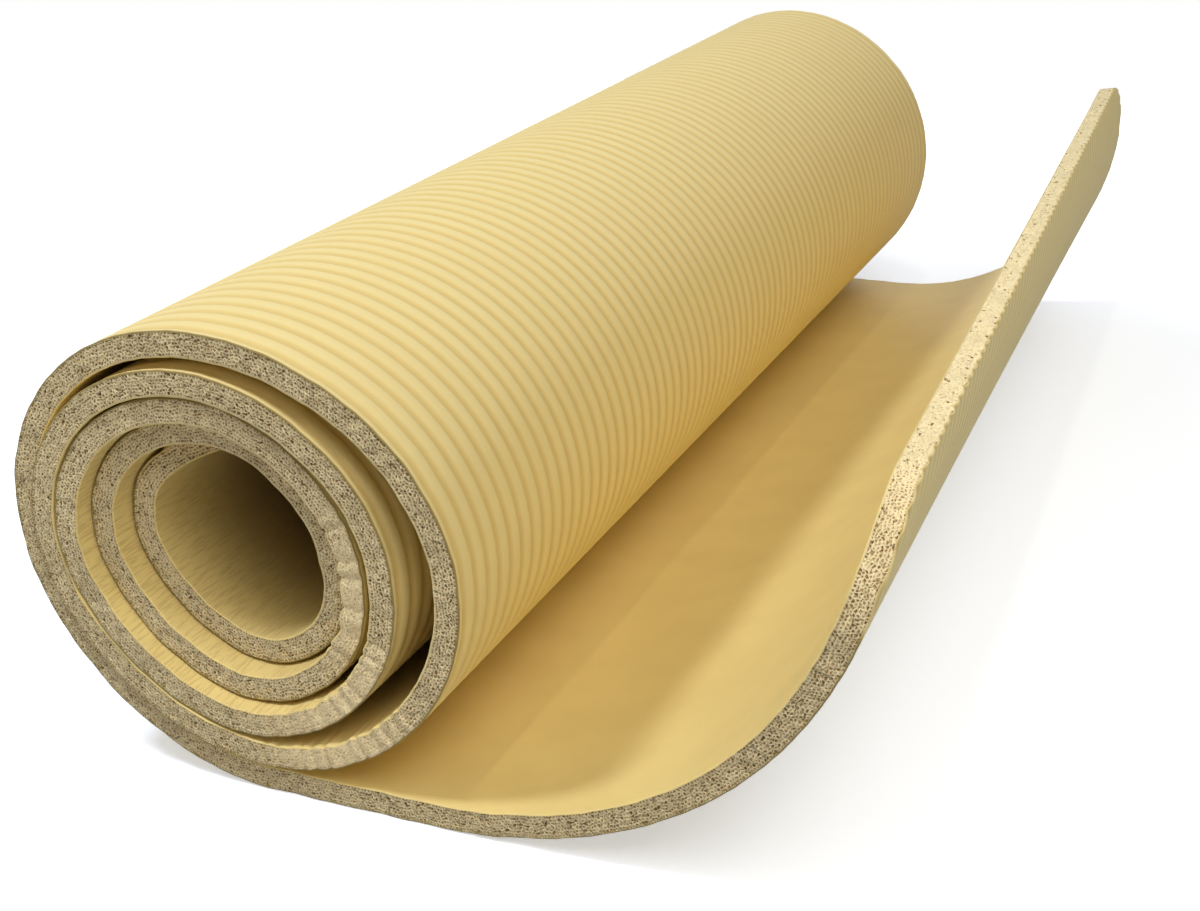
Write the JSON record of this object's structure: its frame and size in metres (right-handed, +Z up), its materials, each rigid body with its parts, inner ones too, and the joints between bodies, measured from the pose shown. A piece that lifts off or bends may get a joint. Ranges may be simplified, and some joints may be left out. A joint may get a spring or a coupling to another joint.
{
  "type": "yoga mat",
  "caption": "Thick foam exercise mat, mostly rolled up with an open core, its loose end curling up off the floor; smooth inner face, ribbed outer face and rounded corners.",
  "frame": {"origin": "on the floor, below the middle of the bounding box", "axes": "+Z up; +Y along the roll's axis, across the mat's width, away from the near end; +X from the roll towards the loose end"},
  "size_m": [0.287, 0.626, 0.1672],
  "materials": {
    "smooth_skin": "smooth closed skin, soft satin",
    "foam_core": "cut closed-cell foam, matte, fine open pores",
    "ribbed_skin": "fine lengthwise ribs, matte"
  },
  "bodies": {
    "roll": {"roll_smooth_skin": "smooth_skin", "roll_foam_core": "foam_core", "roll_ribbed_skin": "ribbed_skin"},
    "flap_1": {"flap_1_smooth_skin": "smooth_skin", "flap_1_foam_core": "foam_core", "flap_1_ribbed_skin": "ribbed_skin"},
    "flap_2": {"flap_2_smooth_skin": "smooth_skin", "flap_2_foam_core": "foam_core", "flap_2_ribbed_skin": "ribbed_skin"},
    "flap_3": {"flap_3_smooth_skin": "smooth_skin", "flap_3_foam_core": "foam_core", "flap_3_ribbed_skin": "ribbed_skin"},
    "flap_4": {"flap_4_smooth_skin": "smooth_skin", "flap_4_foam_core": "foam_core", "flap_4_ribbed_skin": "ribbed_skin"},
    "flap_5": {"flap_5_smooth_skin": "smooth_skin", "flap_5_foam_core": "foam_core", "flap_5_ribbed_skin": "ribbed_skin"},
    "flap_6": {"flap_6_smooth_skin": "smooth_skin", "flap_6_foam_core": "foam_core", "flap_6_ribbed_skin": "ribbed_skin"}
  },
  "joints": [
    {"name": "flap_bend_1", "type": "hinge", "parent": "roll", "child": "flap_1", "pos_m": [0.00457, -0.00403, 0.00425], "axis": [0, -1, 0], "range_deg": [-4.3, 4], "stiffness_Nm_per_rad": 0.5, "springref_deg": 9.82},
    {"name": "flap_bend_2", "type": "hinge", "parent": "flap_1", "child": "flap_2", "pos_m": [0.03768, -0.00403, 0.00844], "axis": [0.0002, -1, -0.0012], "range_deg": [-12.9, 12], "stiffness_Nm_per_rad": 0.5, "springref_deg": 6.11},
    {"name": "flap_bend_3", "type": "hinge", "parent": "flap_2", "child": "flap_3", "pos_m": [0.06869, -0.00403, 0.02073], "axis": [0.0016, -1, -0.0047], "range_deg": [-12.9, 12], "stiffness_Nm_per_rad": 0.5, "springref_deg": 3.27},
    {"name": "flap_bend_4", "type": "hinge", "parent": "flap_3", "child": "flap_4", "pos_m": [0.09512, -0.00403, 0.04096], "axis": [0.0056, -0.9999, -0.0098], "range_deg": [-12.9, 12], "stiffness_Nm_per_rad": 0.5, "springref_deg": 1.38},
    {"name": "flap_bend_5", "type": "hinge", "parent": "flap_4", "child": "flap_5", "pos_m": [0.11436, -0.00403, 0.06804], "axis": [0.0134, -0.9998, -0.0152], "range_deg": [-12.9, 12], "stiffness_Nm_per_rad": 0.5, "springref_deg": 0.39},
    {"name": "flap_bend_6", "type": "hinge", "parent": "flap_5", "child": "flap_6", "pos_m": [0.12551, -0.00403, 0.09928], "axis": [0.0249, -0.9995, -0.0193], "range_deg": [-12.9, 12], "stiffness_Nm_per_rad": 0.5, "springref_deg": 0.05}
  ],
  "couplings": [
    {"joint": "flap_bend_2", "follows": "flap_bend_1", "ratio": 3},
    {"joint": "flap_bend_3", "follows": "flap_bend_1", "ratio": 3},
    {"joint": "flap_bend_4", "follows": "flap_bend_1", "ratio": 3},
    {"joint": "flap_bend_5", "follows": "flap_bend_1", "ratio": 3},
    {"joint": "flap_bend_6", "follows": "flap_bend_1", "ratio": 3}
  ]
}
